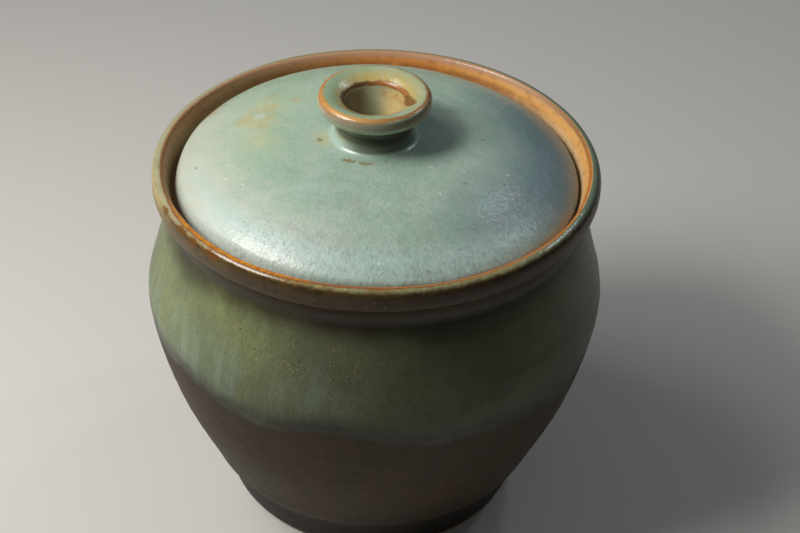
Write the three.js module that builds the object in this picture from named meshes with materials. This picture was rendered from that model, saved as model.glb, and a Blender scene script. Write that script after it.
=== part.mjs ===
// A wheel-thrown stoneware jar with a domed lid that drops into its rim, in millimetres, +Z up.
// The jar stands on its foot ring at z = 0 and turns about the Z axis.
// The lid rests on a ledge inside the rim. Its hollow knob is thrown apart and set on the crown.
import * as THREE from 'three';

// Jar, from the table up
const footRadius = 49.6; // outside of the standing face
const footRingWidth = 6.5;
const footEdge = 1.2; // bevel on both edges of the standing face
const recessDepth = 3.6; // turned out inside the foot ring
const heelRadius = 56; // where the foot meets the body
const heelHeight = 17;
const heelStep = 2.4; // the body's overhang above the foot
const flankRadius = 67.6; // halfway up from the heel to the belly
const bellyRadius = 73.5;
const bellyHeight = 75;
const shoulderRadius = 70.3; // halfway up from the belly to the neck
const neckRadius = 65.2;
const neckDrop = 15; // crest of the rim to the neck

// Jar, inside
const wall = 5.4;
const floorThickness = 7.4;
const floorRound = 15; // reach of the round turn from the wall to the floor

// Rolled rim
const rimHeight = 123; // crest above the table
const rimRadius = 66; // inner edge of the crest
const crestWidth = 1.3;
const crestDrop = 0.8; // how far the crest's inner edge is rounded down
const bandRadius = 69.8; // the rim's band at its widest
const bandWidest = 4; // crest to the widest line
const bandHeight = 7; // crest to the band's lower edge
const bandTuck = 0.7; // how far the lower edge draws in from the widest line
const bandUnderside = 3.4; // height of the slope under the band

// Gallery, the stepped seat for the lid
const ledgeDrop = 8; // crest to the ledge
const galleryRadius = 64.3; // the upright wall at the ledge
const galleryRound = 1.2;
const ledgeWidth = 7;
const ledgeEdge = 1.2; // rounding of the ledge's inner edge
const throatDepth = 5; // the upright face under the ledge

// Lid
const lidClearance = 1.3; // all round, between the lid's edge and the gallery's wall
const lidHeight = 16.2; // seat to the flat of the crown
const lidThickness = 4.8;
const lidSeatWidth = 5;
const lidEdgeBevel = 1;
const lidEdgeHeight = 3.8; // seat to the upper turn of the edge
const lidEdgeTurn = 0.8; // how far the edge draws in at that turn
const shoulderHeight = 2.2; // how steeply the dome leaves the edge
const crownFlare = 30; // how far the crown stays nearly flat beyond the knob
const crownMargin = 0.6; // flat clay left round the knob's foot

// Knob
const knobOffset = -0.9; // set a little off the lid's centre
const knobHeight = 14.8;
const knobFootRadius = 13.8;
const knobFootEdge = 0.5; // the clay drawn out thin onto the lid
const knobWaistRadius = 11.1;
const knobWaistHeight = 5.2;
const knobLipRadius = 17.7;
const knobLipHeight = 11.8; // seat to the lip's widest line
const knobLipUnderside = 3.4; // height of the flare under the lip
const knobCrestRadius = 15.9;
const knobDish = 2.3; // crest to the mouth of the hollow
const knobMouthRadius = 9.7;
const knobHollowRadius = 6.6; // where the hollow meets the lid
const knobHollowNeck = 8.2;

// Facets
const turnSteps = 72;
const knobTurnSteps = 48;

const ledgeHeight = rimHeight - ledgeDrop;
const neckHeight = rimHeight - neckDrop;
const bandFoot = rimHeight - bandHeight;
const lidRadius = galleryRadius - lidClearance;
const crownRadius = knobFootRadius + Math.abs(knobOffset) + crownMargin;

const point = (radius, height) => new THREE.Vector2(radius, height);

// A round stretch of an outline. Its first point is left out: the stretch before it ends there.
function bend(from, corner, to, steps) {
  return new THREE.QuadraticBezierCurve(from, corner, to).getPoints(steps).slice(1);
}

// Points at a distance to the left of a curve, which is the inner side of a wall.
function inside(curve, distance, steps) {
  const side = [];
  for (let i = 0; i <= steps; i++) {
    const along = curve.getTangentAt(i / steps);
    side.push(curve.getPointAt(i / steps).add(point(-along.y, along.x).multiplyScalar(distance)));
  }
  return side;
}

// An outline turned about the Z axis.
function thrown(name, outline, steps, material) {
  const geometry = new THREE.LatheGeometry(outline, steps);
  geometry.rotateX(Math.PI / 2);
  const mesh = new THREE.Mesh(geometry, material);
  mesh.name = name;
  return mesh;
}

function footOutline() {
  const ringInside = footRadius - footRingWidth;
  const recessTop = point(ringInside - recessDepth, recessDepth);
  return [
    point(0, recessDepth),
    recessTop,
    ...bend(recessTop, point(ringInside, recessDepth), point(ringInside, footEdge), 3),
    point(ringInside + footEdge, 0),
    point(footRadius - footEdge, 0),
    point(footRadius, footEdge),
    point(heelRadius - heelStep, heelHeight - heelStep),
  ];
}

// The body's outside, from the heel up over the belly and in to the neck.
function bodyCurve() {
  return new THREE.SplineCurve([
    point(heelRadius, heelHeight),
    point(flankRadius, (heelHeight + bellyHeight) / 2),
    point(bellyRadius, bellyHeight),
    point(shoulderRadius, (bellyHeight + neckHeight) / 2),
    point(neckRadius, neckHeight),
  ]);
}

// From the neck out under the band, over the crest and down the gallery to the ledge.
function rimOutline() {
  const neck = point(neckRadius, neckHeight);
  const lowerEdge = point(bandRadius - bandTuck, bandFoot);
  const widest = point(bandRadius, rimHeight - bandWidest);
  const crest = point(rimRadius + crestWidth, rimHeight);
  const crestInside = point(rimRadius, rimHeight - crestDrop);
  const galleryFoot = point(galleryRadius, ledgeHeight + galleryRound);
  const ledgeOutside = point(galleryRadius - galleryRound, ledgeHeight);
  return [
    ...bend(neck, point(neckRadius, bandFoot - bandUnderside), lowerEdge, 4),
    ...bend(lowerEdge, point(bandRadius, bandFoot), widest, 2),
    ...bend(widest, point(bandRadius, rimHeight), crest, 4),
    ...bend(crest, point(rimRadius, rimHeight), crestInside, 2),
    galleryFoot,
    ...bend(galleryFoot, point(galleryRadius, ledgeHeight), ledgeOutside, 2),
  ];
}

// From the ledge's inner edge down the throat, and out to the body's inner side.
function throatOutline(bodyInside) {
  const throat = galleryRadius - ledgeWidth;
  const edgeTop = point(throat + ledgeEdge, ledgeHeight);
  const edgeFoot = point(throat, ledgeHeight - ledgeEdge);
  return [
    edgeTop,
    ...bend(edgeTop, point(throat, ledgeHeight), edgeFoot, 2),
    ...bend(edgeFoot, point(throat, ledgeHeight - throatDepth), bodyInside, 3),
  ];
}

function jar(material) {
  const body = bodyCurve();
  const cavity = inside(body, wall, 10).reverse();
  const wallFoot = cavity[cavity.length - 1];
  const cavityFloor = recessDepth + floorThickness;
  const floorEdge = point(wallFoot.x - floorRound, cavityFloor);
  const outline = [
    ...footOutline(),
    ...body.getPoints(13),
    ...rimOutline(),
    ...throatOutline(cavity[0]),
    ...cavity.slice(1),
    ...bend(wallFoot, point(wallFoot.x - floorRound / 3, cavityFloor), floorEdge, 4),
    point(0, cavityFloor),
  ];
  return thrown('jar_body', outline, turnSteps, material);
}

// The lid's upper side, from the turn of its edge in to the flat of the crown.
function domeCurve() {
  const edge = point(lidRadius - lidEdgeTurn, lidEdgeHeight);
  const crown = point(crownRadius, lidHeight);
  const steep = point(edge.x - lidEdgeTurn, lidEdgeHeight + shoulderHeight);
  const level = point(crownRadius + crownFlare, lidHeight);
  return new THREE.CubicBezierCurve(edge, steep, level, crown);
}

function lid(material) {
  const dome = domeCurve();
  const seatOutside = lidRadius - lidEdgeBevel;
  const outline = [
    point(0, lidHeight - lidThickness),
    ...inside(dome, lidThickness, 10).reverse(),
    point(seatOutside - lidSeatWidth, 0),
    point(seatOutside, 0),
    point(lidRadius, lidEdgeBevel),
    ...dome.getPoints(12),
    point(0, lidHeight),
  ];
  return thrown('lid', outline, turnSteps, material);
}

// A flared ring with a dished lip, hollow down to the lid that it is set on.
function knob(material) {
  const hollowFoot = point(knobHollowRadius, 0);
  const foot = point(knobFootRadius, knobFootEdge);
  const waist = point(knobWaistRadius, knobWaistHeight);
  const widest = point(knobLipRadius, knobLipHeight);
  const crest = point(knobCrestRadius, knobHeight);
  const mouth = point(knobMouthRadius, knobHeight - knobDish);
  const outline = [
    hollowFoot,
    point(knobFootRadius, 0),
    foot,
    ...bend(foot, point(knobWaistRadius, knobFootEdge), waist, 4),
    ...bend(waist, point(knobWaistRadius, knobLipHeight - knobLipUnderside), widest, 5),
    ...bend(widest, point(knobLipRadius, knobHeight), crest, 3),
    ...bend(crest, point((knobCrestRadius + knobMouthRadius) / 2, knobHeight), mouth, 3),
    ...bend(mouth, point(knobHollowNeck, knobWaistHeight), hollowFoot, 4),
  ];
  return thrown('lid_knob', outline, knobTurnSteps, material);
}

const shoulderGlaze = new THREE.MeshStandardMaterial({ color: 0x7f8a63, roughness: 0.35, metalness: 0 });
const lidGlaze = new THREE.MeshStandardMaterial({ color: 0xa4bcae, roughness: 0.38, metalness: 0 });
const knobGlaze = new THREE.MeshStandardMaterial({ color: 0xb0b588, roughness: 0.25, metalness: 0 });

const liddedJar = new THREE.Group();
liddedJar.add(jar(shoulderGlaze));

const lidAssembly = new THREE.Group();
lidAssembly.position.z = ledgeHeight;
liddedJar.add(lidAssembly);
lidAssembly.add(lid(lidGlaze));

const lidKnob = knob(knobGlaze);
lidKnob.position.set(knobOffset, 0, lidHeight);
lidAssembly.add(lidKnob);

export default liddedJar;
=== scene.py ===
# A wheel-thrown stoneware jar, its lid and its hollow knob, glazed, under soft studio light.
# Metres and +Z up. Glazes are painted in millimetres. An azimuth runs anticlockwise from +X.
import functools
import math

import bpy
import numpy as np
from mathutils import Matrix, Vector


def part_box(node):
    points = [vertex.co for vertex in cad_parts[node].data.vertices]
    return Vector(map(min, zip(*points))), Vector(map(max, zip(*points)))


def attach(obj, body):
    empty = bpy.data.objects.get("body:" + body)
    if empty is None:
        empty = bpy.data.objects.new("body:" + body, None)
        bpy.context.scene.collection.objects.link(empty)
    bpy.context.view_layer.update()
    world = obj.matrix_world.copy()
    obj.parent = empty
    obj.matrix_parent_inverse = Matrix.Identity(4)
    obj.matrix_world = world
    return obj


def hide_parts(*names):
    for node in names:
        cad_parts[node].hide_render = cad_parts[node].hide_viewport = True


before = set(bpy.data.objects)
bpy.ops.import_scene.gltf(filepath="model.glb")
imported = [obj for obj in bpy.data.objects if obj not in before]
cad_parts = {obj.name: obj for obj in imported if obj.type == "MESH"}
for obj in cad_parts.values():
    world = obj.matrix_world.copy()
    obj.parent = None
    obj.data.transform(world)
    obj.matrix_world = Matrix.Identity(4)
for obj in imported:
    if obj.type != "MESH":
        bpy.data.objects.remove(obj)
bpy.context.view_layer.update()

MM = 0.001

# Camera, looking down over the lid from the front
LENS = 70.0
CAMERA_PLACE = Vector((0.0, -0.4075, 0.3872))
CAMERA_DIP = math.radians(37.0)
CAMERA_TURN = math.radians(1.14)
CAMERA_ROLL = math.radians(1.52)
SENSOR_WIDTH = 36

# Studio
LIGHT_AIM = Vector((0.0, 0.0, 0.10))
LIGHTS = (  # name, direction from the aim, distance, size, power and tint
    ("key", (-0.668, -0.191, 0.719), 0.50, 0.21, 2.35, (1.0, 0.98, 0.95)),
    ("top_window", (-0.535, 0.163, 0.830), 0.90, 0.30, 1.30, (1.0, 0.98, 0.97)),
    ("right_window", (0.47, 0.53, 0.70), 0.90, 0.08, 0.46, (0.80, 0.90, 1.0)),
    ("far_window", (0.64, 0.34, 0.69), 0.90, 0.08, 0.44, (0.80, 0.90, 1.0)),
)
FLOOR_HALF = 3.0
FLOOR_ROUGHNESS = 0.9
WORLD_STRENGTH = 0.08

# Grains of noise: how much detail, and how strong the detail is
SOFT = (2.0, 0.5)
LOOSE = (2.0, 0.45)
FIBROUS = (2.0, 0.6)
EVEN = (3.0, 0.5)
CLOUDY = (3.0, 0.55)
ROUGH = (3.0, 0.6)
RUSTY = (3.0, 0.65)
CRUMBLY = (4.0, 0.6)
GRITTY = (4.0, 0.65)
SANDY = (4.0, 0.7)
SEED_STEP = 31.7

# Spots and dabs of glaze
SPECK_CORE = 0.55  # the share of a speck's size that has its full colour
DAB_FRAY = 1.6
DAB_RAGGED = 2.4

# Reading the outlines
SAME_SPOT = 1e-6
SLACK = 5
SHARP_TURN = math.radians(40)
FINE = 0.1 * MM
BEND_PER_STEP = 0.2
LEAST_BEND = 1e-6
BELL_TAIL = 4  # reaches from the middle of the bell to its end
SPACING_REACH = 8
FREE_BEYOND = 5 * MM

# Where the pieces meet and stand
KNOB_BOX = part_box("lid_knob")
KNOB_AXIS = (KNOB_BOX[0].x + KNOB_BOX[1].x) / 2
SEAT_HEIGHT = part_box("lid")[0].z
CROWN_HEIGHT = KNOB_BOX[0].z
STANDING_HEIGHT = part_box("jar_body")[0].z


class Nodes:
    """A node tree, filled in node by node. A value is a number, a colour or a node's output."""

    def __init__(self, tree):
        self.tree = tree

    def node(self, kind, inputs=None, **settings):
        node = self.tree.nodes.new(kind)
        for name, value in settings.items():
            setattr(node, name, value)
        for name, value in (inputs or {}).items():
            self.feed(node.inputs[name], value)
        return node

    def feed(self, socket, value):
        if isinstance(value, bpy.types.NodeSocket):
            self.tree.links.new(value, socket)
        else:
            socket.default_value = value

    def calc(self, operation, a, b=0.0):
        return self.node("ShaderNodeMath", {0: a, 1: b}, operation=operation).outputs[0]

    def plus(self, a, b):
        return self.calc("ADD", a, b)

    def minus(self, a, b):
        return self.calc("SUBTRACT", a, b)

    def times(self, a, b):
        return self.calc("MULTIPLY", a, b)

    def length(self, a, b):
        return self.calc("SQRT", self.plus(self.times(a, a), self.times(b, b)))

    def join(self, x, y, z):
        return self.node("ShaderNodeCombineXYZ", {0: x, 1: y, 2: z}).outputs[0]

    def split(self, vector):
        return self.node("ShaderNodeSeparateXYZ", {0: vector}).outputs

    def stretched(self, vector, factors):
        return self.node("ShaderNodeVectorMath", {0: vector, 1: factors}, operation="MULTIPLY").outputs[0]

    def scaled(self, vector, factor):
        return self.node("ShaderNodeVectorMath", {0: vector, "Scale": factor}, operation="SCALE").outputs[0]

    def shifted(self, vector, step):
        return self.node("ShaderNodeVectorMath", {0: vector, 1: step}, operation="ADD").outputs[0]

    def noise(self, vector, size, grain, seed):
        inputs = {"Vector": self.moved(vector, seed), "Scale": 1 / size,
                  "Detail": grain[0], "Roughness": grain[1]}
        return self.node("ShaderNodeTexNoise", inputs).outputs[0]

    def moved(self, vector, seed):
        """The same place in another part of the noise, so that no two patterns fall together."""
        step = (SEED_STEP * seed, -0.5 * SEED_STEP * seed, 0.25 * SEED_STEP * seed)
        return self.shifted(vector, step)


# Outlines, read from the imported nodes

def outline_of(node, axis_x):
    """A turned node's outline on the +X side of its axis: (radius, height) points, from the lowest on."""
    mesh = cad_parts[node].data
    spots = [tuple(round(c / SAME_SPOT) for c in vertex.co) for vertex in mesh.vertices]
    axis = round(axis_x / SAME_SPOT)
    beside = {}
    for face in mesh.polygons:
        corners = [spots[i] for i in face.vertices]
        for a, b in zip(corners, corners[1:] + corners[:1]):
            if a != b and max(abs(a[1]), abs(b[1])) <= SLACK and min(a[0], b[0]) >= axis - SLACK:
                beside.setdefault(a, set()).add(b)
                beside.setdefault(b, set()).add(a)
    ends = [spot for spot, near in beside.items() if len(near) == 1]
    walk = [min(ends or beside, key=lambda spot: (spot[2], spot[0]))]
    ahead = beside[walk[0]]
    while ahead:
        walk.append(max(ahead))
        ahead = beside[walk[-1]] - set(walk)
    if not ends:
        walk.append(walk[0])
    return np.array([((x - axis) * SAME_SPOT, z * SAME_SPOT) for x, _, z in walk])


def curve_through(run):
    """Fine points on a smooth curve through a run of points, without its last point."""
    ghosts = np.vstack([2 * run[0] - run[1], run, 2 * run[-1] - run[-2]])
    knots = np.concatenate([[0], np.cumsum(np.sqrt(np.linalg.norm(np.diff(ghosts, axis=0), axis=1)))])
    pieces = []
    for i in range(1, len(ghosts) - 2):
        p0, p1, p2, p3 = ghosts[i - 1:i + 3]
        t0, t1, t2, t3 = knots[i - 1:i + 3]
        count = max(2, math.ceil(np.linalg.norm(p2 - p1) / FINE))
        t = np.linspace(t1, t2, count, endpoint=False)[:, None]
        a1 = ((t1 - t) * p0 + (t - t0) * p1) / (t1 - t0)
        a2 = ((t2 - t) * p1 + (t - t1) * p2) / (t2 - t1)
        a3 = ((t3 - t) * p2 + (t - t2) * p3) / (t3 - t2)
        b1 = ((t2 - t) * a1 + (t - t0) * a2) / (t2 - t0)
        b2 = ((t3 - t) * a2 + (t - t1) * a3) / (t3 - t1)
        pieces.append(((t2 - t) * b1 + (t - t1) * b2) / (t2 - t1))
    return np.vstack(pieces)


def corners_of(points):
    """Which points stay corners: sharp turns, and both ends of each level stretch."""
    legs = np.diff(points, axis=0)
    headings = np.unwrap(np.arctan2(legs[:, 1], legs[:, 0]))
    level = np.abs(legs[:, 1]) < SAME_SPOT
    found = {0, len(points) - 1}
    for i in range(1, len(points) - 1):
        if abs(headings[i] - headings[i - 1]) > SHARP_TURN or level[i] or level[i - 1]:
            found.add(i)
    return sorted(found)


def at_lengths(line, lengths, wanted):
    return np.column_stack([np.interp(wanted, lengths, line[:, 0]), np.interp(wanted, lengths, line[:, 1])])


def lengths_along(line):
    return np.concatenate([[0], np.cumsum(np.linalg.norm(np.diff(line, axis=0), axis=1))])


def softened(values, reach, mode, **settings):
    """Values along an outline, averaged over a bell-shaped reach of samples."""
    pad = math.ceil(BELL_TAIL * reach)
    bell = np.exp(-0.5 * (np.arange(-pad, pad + 1) / reach) ** 2)
    return np.convolve(np.pad(values, pad, mode, **settings), bell / bell.sum(), mode="valid")


def smooth_outline(points, rounding, step, finest):
    """The outline with its bends drawn fine and its corners worn round, spaced closer where it bends."""
    corners = corners_of(points)
    runs = [points[a:b + 1] for a, b in zip(corners, corners[1:])]
    line = np.vstack([curve_through(run) for run in runs] + [points[-1:]])
    lengths = lengths_along(line)
    line = at_lengths(line, lengths, np.linspace(0, lengths[-1], math.ceil(lengths[-1] / FINE)))
    closed = np.allclose(points[0], points[-1])
    reach = rounding / FINE
    if closed:
        ring = np.column_stack([softened(side, reach, "wrap") for side in line[:-1].T])
        line = np.vstack([ring, ring[:1]])
    else:
        line = np.column_stack([softened(line[:, 0], reach, "reflect", reflect_type="odd"),
                                softened(line[:, 1], reach, "reflect")])
    lengths = lengths_along(line)
    legs = np.gradient(line, lengths, axis=0)
    headings = np.unwrap(np.arctan2(legs[:, 1], legs[:, 0]))
    bend = np.abs(np.gradient(headings, lengths))
    gaps = np.clip(BEND_PER_STEP / np.maximum(bend, LEAST_BEND), finest, step)
    gaps = softened(gaps, SPACING_REACH, "reflect")
    marks = np.concatenate([[0], np.cumsum(np.diff(lengths) / (0.5 * (gaps[1:] + gaps[:-1])))])
    wanted = np.interp(np.linspace(0, marks[-1], math.ceil(marks[-1]) + 1), marks, lengths)
    return at_lengths(line, lengths, wanted)


def eased(value, start, end):
    share = np.clip((value - start) / (end - start), 0, 1)
    return share * share * (3 - 2 * share)


def freedom(line, points, fits):
    """The share of the wheel's marks that each point takes: none at a seat, all of it some way off."""
    free = np.ones(len(line))
    for (r0, z0), (r1, z1) in zip(points, points[1:]):
        level = abs(z1 - z0) < SAME_SPOT
        if level and any(abs(z0 - height) < SAME_SPOT * SLACK for height in fits):
            beyond = np.maximum(0, np.maximum(min(r0, r1) - line[:, 0], line[:, 0] - max(r0, r1)))
            free = np.minimum(free, eased(np.hypot(beyond, line[:, 1] - z0), 0, FREE_BEYOND))
    return free


# The wheel: an outline turned into a pot, with the marks of throwing on it

def make_wheel():
    tree = bpy.data.node_groups.new("potter's wheel", "GeometryNodeTree")
    tree.is_modifier = True
    sockets = {}

    def socket(name, kind, way="INPUT"):
        sockets[name] = tree.interface.new_socket(name=name, in_out=way, socket_type="NodeSocket" + kind)

    socket("Pot", "Geometry", "OUTPUT")
    socket("Outline", "Geometry")
    socket("Steps round", "Int")
    for name in ("Axis", "Throwing pitch", "Throwing depth", "Waver size", "Waver depth",
                 "Out of round", "Seed"):
        socket(name, "Float")
    socket("Glaze", "Material")

    wheel = Nodes(tree)
    given = wheel.node("NodeGroupInput").outputs
    count = wheel.node("GeometryNodeAttributeDomainSize", {0: given["Outline"]}).outputs["Point Count"]
    around = wheel.plus(given["Steps round"], 1)
    grid = wheel.node("GeometryNodeMeshGrid", {"Vertices X": count, "Vertices Y": around}).outputs["Mesh"]

    # The grid's points run round the pot first, then along its outline
    index = wheel.node("GeometryNodeInputIndex").outputs[0]
    along = wheel.calc("FLOOR", wheel.calc("DIVIDE", wheel.plus(index, 0.5), around))
    turned = wheel.minus(index, wheel.times(along, around))
    angle = wheel.times(turned, wheel.calc("DIVIDE", math.tau, given["Steps round"]))

    def read(kind, value):
        node = wheel.node("GeometryNodeSampleIndex", {"Geometry": given["Outline"], "Index": along},
                          data_type=kind, domain="POINT")
        wheel.feed(node.inputs["Value"], value)
        return node.outputs["Value"]

    def mark(name):
        return wheel.node("GeometryNodeInputNamedAttribute", {"Name": name}, data_type="FLOAT").outputs[0]

    position = wheel.node("GeometryNodeInputPosition").outputs[0]
    radius, _, height = wheel.split(read("FLOAT_VECTOR", position))
    place = wheel.join(wheel.times(radius, wheel.calc("COSINE", angle)),
                       wheel.times(radius, wheel.calc("SINE", angle)), height)
    pot = wheel.node("GeometryNodeSetPosition", {"Geometry": grid, "Position": place}).outputs[0]
    for name in ("free", "inner", "run"):
        pot = wheel.node("GeometryNodeStoreNamedAttribute",
                         {"Geometry": pot, "Name": name, "Value": read("FLOAT", mark(name))},
                         data_type="FLOAT", domain="POINT").outputs[0]
    pot = wheel.node("GeometryNodeMergeByDistance", {"Geometry": pot, "Distance": SAME_SPOT}).outputs[0]
    pot = wheel.node("GeometryNodeFlipFaces", {"Mesh": pot}).outputs[0]

    # Throwing rings climb in a spiral, and the clay wavers a little between them
    here = wheel.node("GeometryNodeInputPosition").outputs[0]
    x, y, _ = wheel.split(here)
    azimuth = wheel.calc("ARCTAN2", y, x)
    climb = wheel.times(wheel.calc("DIVIDE", mark("run"), given["Throwing pitch"]), math.tau)
    ring = wheel.times(wheel.calc("SINE", wheel.plus(climb, azimuth)), given["Throwing depth"])
    waver = wheel.node("ShaderNodeTexNoise", {"Vector": here, "W": given["Seed"], "Detail": 1.0,
                                              "Scale": wheel.calc("DIVIDE", 1.0, given["Waver size"])},
                       noise_dimensions="4D").outputs[0]
    waver = wheel.times(wheel.minus(waver, 0.5), wheel.times(given["Waver depth"], 2))
    oval = wheel.times(wheel.calc("COSINE", wheel.plus(wheel.times(azimuth, 2), given["Seed"])),
                       given["Out of round"])
    outward = wheel.scaled(wheel.node("GeometryNodeInputNormal").outputs[0], wheel.plus(ring, waver))
    sideways = wheel.scaled(wheel.join(wheel.calc("COSINE", azimuth), wheel.calc("SINE", azimuth), 0.0), oval)
    shift = wheel.scaled(wheel.shifted(outward, sideways), mark("free"))
    pot = wheel.node("GeometryNodeSetPosition", {"Geometry": pot, "Offset": shift}).outputs[0]
    pot = wheel.node("GeometryNodeTransform",
                     {"Geometry": pot, "Translation": wheel.join(given["Axis"], 0.0, 0.0)}).outputs[0]
    pot = wheel.node("GeometryNodeSetShadeSmooth", {"Geometry": pot, "Shade Smooth": True}).outputs[0]
    pot = wheel.node("GeometryNodeRealizeInstances", {"Geometry": pot}).outputs[0]
    pot = wheel.node("GeometryNodeSetMaterial", {"Geometry": pot, "Material": given["Glaze"]}).outputs[0]
    wheel.node("NodeGroupOutput", {"Pot": pot})
    return tree, {name: made.identifier for name, made in sockets.items()}


WHEEL, WHEEL_INPUTS = make_wheel()


def placed(name, data):
    made = bpy.data.objects.new(name, data)
    bpy.context.scene.collection.objects.link(made)
    return made


def throw(name, node, fits, inner_from, rounding, step, finest, reshape=None, **settings):
    """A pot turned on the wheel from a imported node's outline, as a plain mesh."""
    points = outline_of(node, settings["axis"])
    if reshape:
        points = reshape(points)
    line = smooth_outline(points, rounding, step, finest)
    marks = {"free": freedom(line, points, fits), "run": lengths_along(line),
             "inner": np.arange(len(line)) > inner_from(line)}
    mesh = bpy.data.meshes.new(name)
    mesh.from_pydata([(r, 0, z) for r, z in line], [(i, i + 1) for i in range(len(line) - 1)], [])
    for label, values in marks.items():
        mesh.attributes.new(label, "FLOAT", "POINT").data.foreach_set("value", values.astype(np.float32))
    piece = placed(name, mesh)
    modifier = piece.modifiers.new("wheel", "NODES")
    modifier.node_group = WHEEL
    for label, value in settings.items():
        modifier[WHEEL_INPUTS[label.replace("_", " ").capitalize()]] = value
    bpy.context.view_layer.update()
    graph = bpy.context.evaluated_depsgraph_get()
    thrown = bpy.data.meshes.new_from_object(piece.evaluated_get(graph), depsgraph=graph)
    piece.modifiers.clear()
    piece.data = thrown
    thrown.name = name
    bpy.data.meshes.remove(mesh)
    return piece


def highest(line):
    return int(np.argmax(line[:, 1]))


def seat_edge(line):
    """The outer end of the lid's seat, where its upper side begins."""
    return int(np.argmax(line[:, 0]))


def pushed(piece, shift):
    """Moves each point of a piece by shift(x, y, z), which gives three arrays in metres."""
    mesh = piece.data
    place = np.empty(len(mesh.vertices) * 3)
    mesh.vertices.foreach_get("co", place)
    place = place.reshape(-1, 3)
    place += np.column_stack(shift(*place.T))
    mesh.vertices.foreach_set("co", place.ravel())
    mesh.update()


# Colours, as they look in plain light. Some also carry painted shade, a painted shadow, a painted highlight
# or a painted sheen, as said where they are laid on.

def colour(red, green, blue):
    """A display colour, 0 to 255, as the linear one that a shader takes."""
    def linear(c):
        return c / 12.92 if c <= 0.04045 else ((c + 0.055) / 1.055) ** 2.4
    return tuple(linear(c / 255) for c in (red, green, blue)) + (1.0,)


# Lid
CELADON = colour(160, 186, 170)
PALE_CELADON = colour(184, 200, 186)
GREEN_CELADON = colour(142, 174, 152)
BLUSH = colour(208, 198, 186)
MOSS = colour(170, 184, 140)
BLUE_GREY = colour(98, 122, 132)
MAUVE_GREY = colour(152, 152, 144)
FLECK_BLUE = colour(84, 104, 112)
FLECK_BROWN = colour(118, 104, 82)
FUZZ_GREY = colour(150, 146, 140)
FUZZ_GREEN = colour(112, 150, 142)
WHITE_SPECK = colour(226, 226, 210)
OLIVE_SPOT = colour(104, 104, 62)
STAIN_HAZE = colour(190, 190, 144)
OCHRE_STAIN = colour(190, 164, 108)
CRAWL_BROWN = colour(132, 114, 62)
CRAWL_OLIVE = colour(132, 122, 78)
PAINTED_SHEEN_BLUE = colour(182, 208, 200)
PAINTED_HIGHLIGHT_CREAM = colour(206, 206, 198)
EDGE_BROWN = colour(140, 124, 104)
CHAFED_PINK = colour(204, 180, 154)
CHAFED_TAN = colour(160, 122, 82)

# Body. The taupe and foot colours are darkened with painted shade, where the body turns under towards the
# floor.
OLIVE = colour(138, 146, 101)
SAGE = colour(114, 123, 88)
STREAK_BLUE = colour(126, 144, 122)
PALE_STREAK = colour(148, 168, 148)
DARK_GREEN = colour(56, 61, 40)
PAINTED_SHADE_GREEN = colour(82, 80, 66)
ROLL_GREEN = colour(32, 35, 22)
PINHOLE = colour(34, 36, 26)
PIT_TAN = colour(196, 156, 108)
TAUPE = colour(80, 60, 38)
TAUPE_GREEN = colour(76, 68, 44)
TAUPE_DARK = colour(55, 40, 25)
FOOT_GREY = colour(40, 34, 27)
CLAY = colour(158, 128, 98)
CLAY_DARK = colour(124, 98, 72)

# Neck, rim and inside
NECK_BROWN_AND_SHADOW = colour(47, 36, 22)
UNDER_BROWN = colour(72, 50, 27)
BAND_BROWN = colour(100, 78, 46)
BAND_OLIVE = colour(112, 98, 54)
BAND_DARK = colour(54, 40, 25)
BAND_GOLD = colour(150, 118, 48)
BAND_LIGHT = colour(206, 188, 126)
BAND_DROP = colour(112, 72, 30)
CREST_OLIVE = colour(140, 136, 98)
CREST_PALE = colour(168, 164, 132)
CREST_SPECK = colour(192, 180, 136)
CREST_TEAL = colour(94, 114, 100)
CREST_BROWN = colour(118, 82, 42)
CREST_TAN = colour(158, 126, 78)
EDGE_ORANGE = colour(178, 106, 42)
EDGE_GOLD = colour(208, 134, 36)
EDGE_TAN = colour(150, 108, 68)
EDGE_RED = colour(150, 82, 40)
PAINTED_SHEEN_PINK = colour(190, 146, 116)
WALL_ORANGE = colour(208, 134, 62)
WALL_GOLD = colour(230, 176, 104)
WALL_LOW_SHADE = colour(150, 94, 42)
WALL_PALE = colour(206, 184, 150)
WALL_BROWN = colour(142, 116, 78)
WALL_TAN = colour(180, 132, 96)
INSIDE_GLAZE = colour(150, 160, 132)

# Knob
KNOB_CELADON = colour(154, 168, 130)
KNOB_OCHRE = colour(190, 166, 92)
KNOB_BROWN = colour(116, 68, 34)
KNOB_LIP = colour(190, 142, 76)
KNOB_LIP_CORE = colour(176, 112, 44)
KNOB_LIP_BRIGHT = colour(210, 156, 84)
LIP_CREAM = colour(208, 198, 166)
LIP_SHADE = colour(112, 96, 84)
DISH_GREEN = colour(134, 160, 126)
DISH_PALE = colour(184, 182, 138)
GRIT_OCHRE = colour(172, 124, 60)
MOUTH_DARK = colour(84, 54, 34)
NICK_BROWN = colour(122, 80, 40)
KNOB_DEEP = colour(172, 174, 142)
KNOB_CREAM = colour(206, 176, 116)
KNOB_UMBER_AND_SHADE = colour(72, 56, 44)
WAIST_SHADE_GREEN = colour(88, 92, 70)
FRONT_SHADE_GREEN = colour(66, 68, 54)

# Floor, as it is seen and as it lights the jar
FLOOR_PALE = colour(216, 213, 207)
FLOOR_BOUNCE = colour(96, 86, 74)


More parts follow.
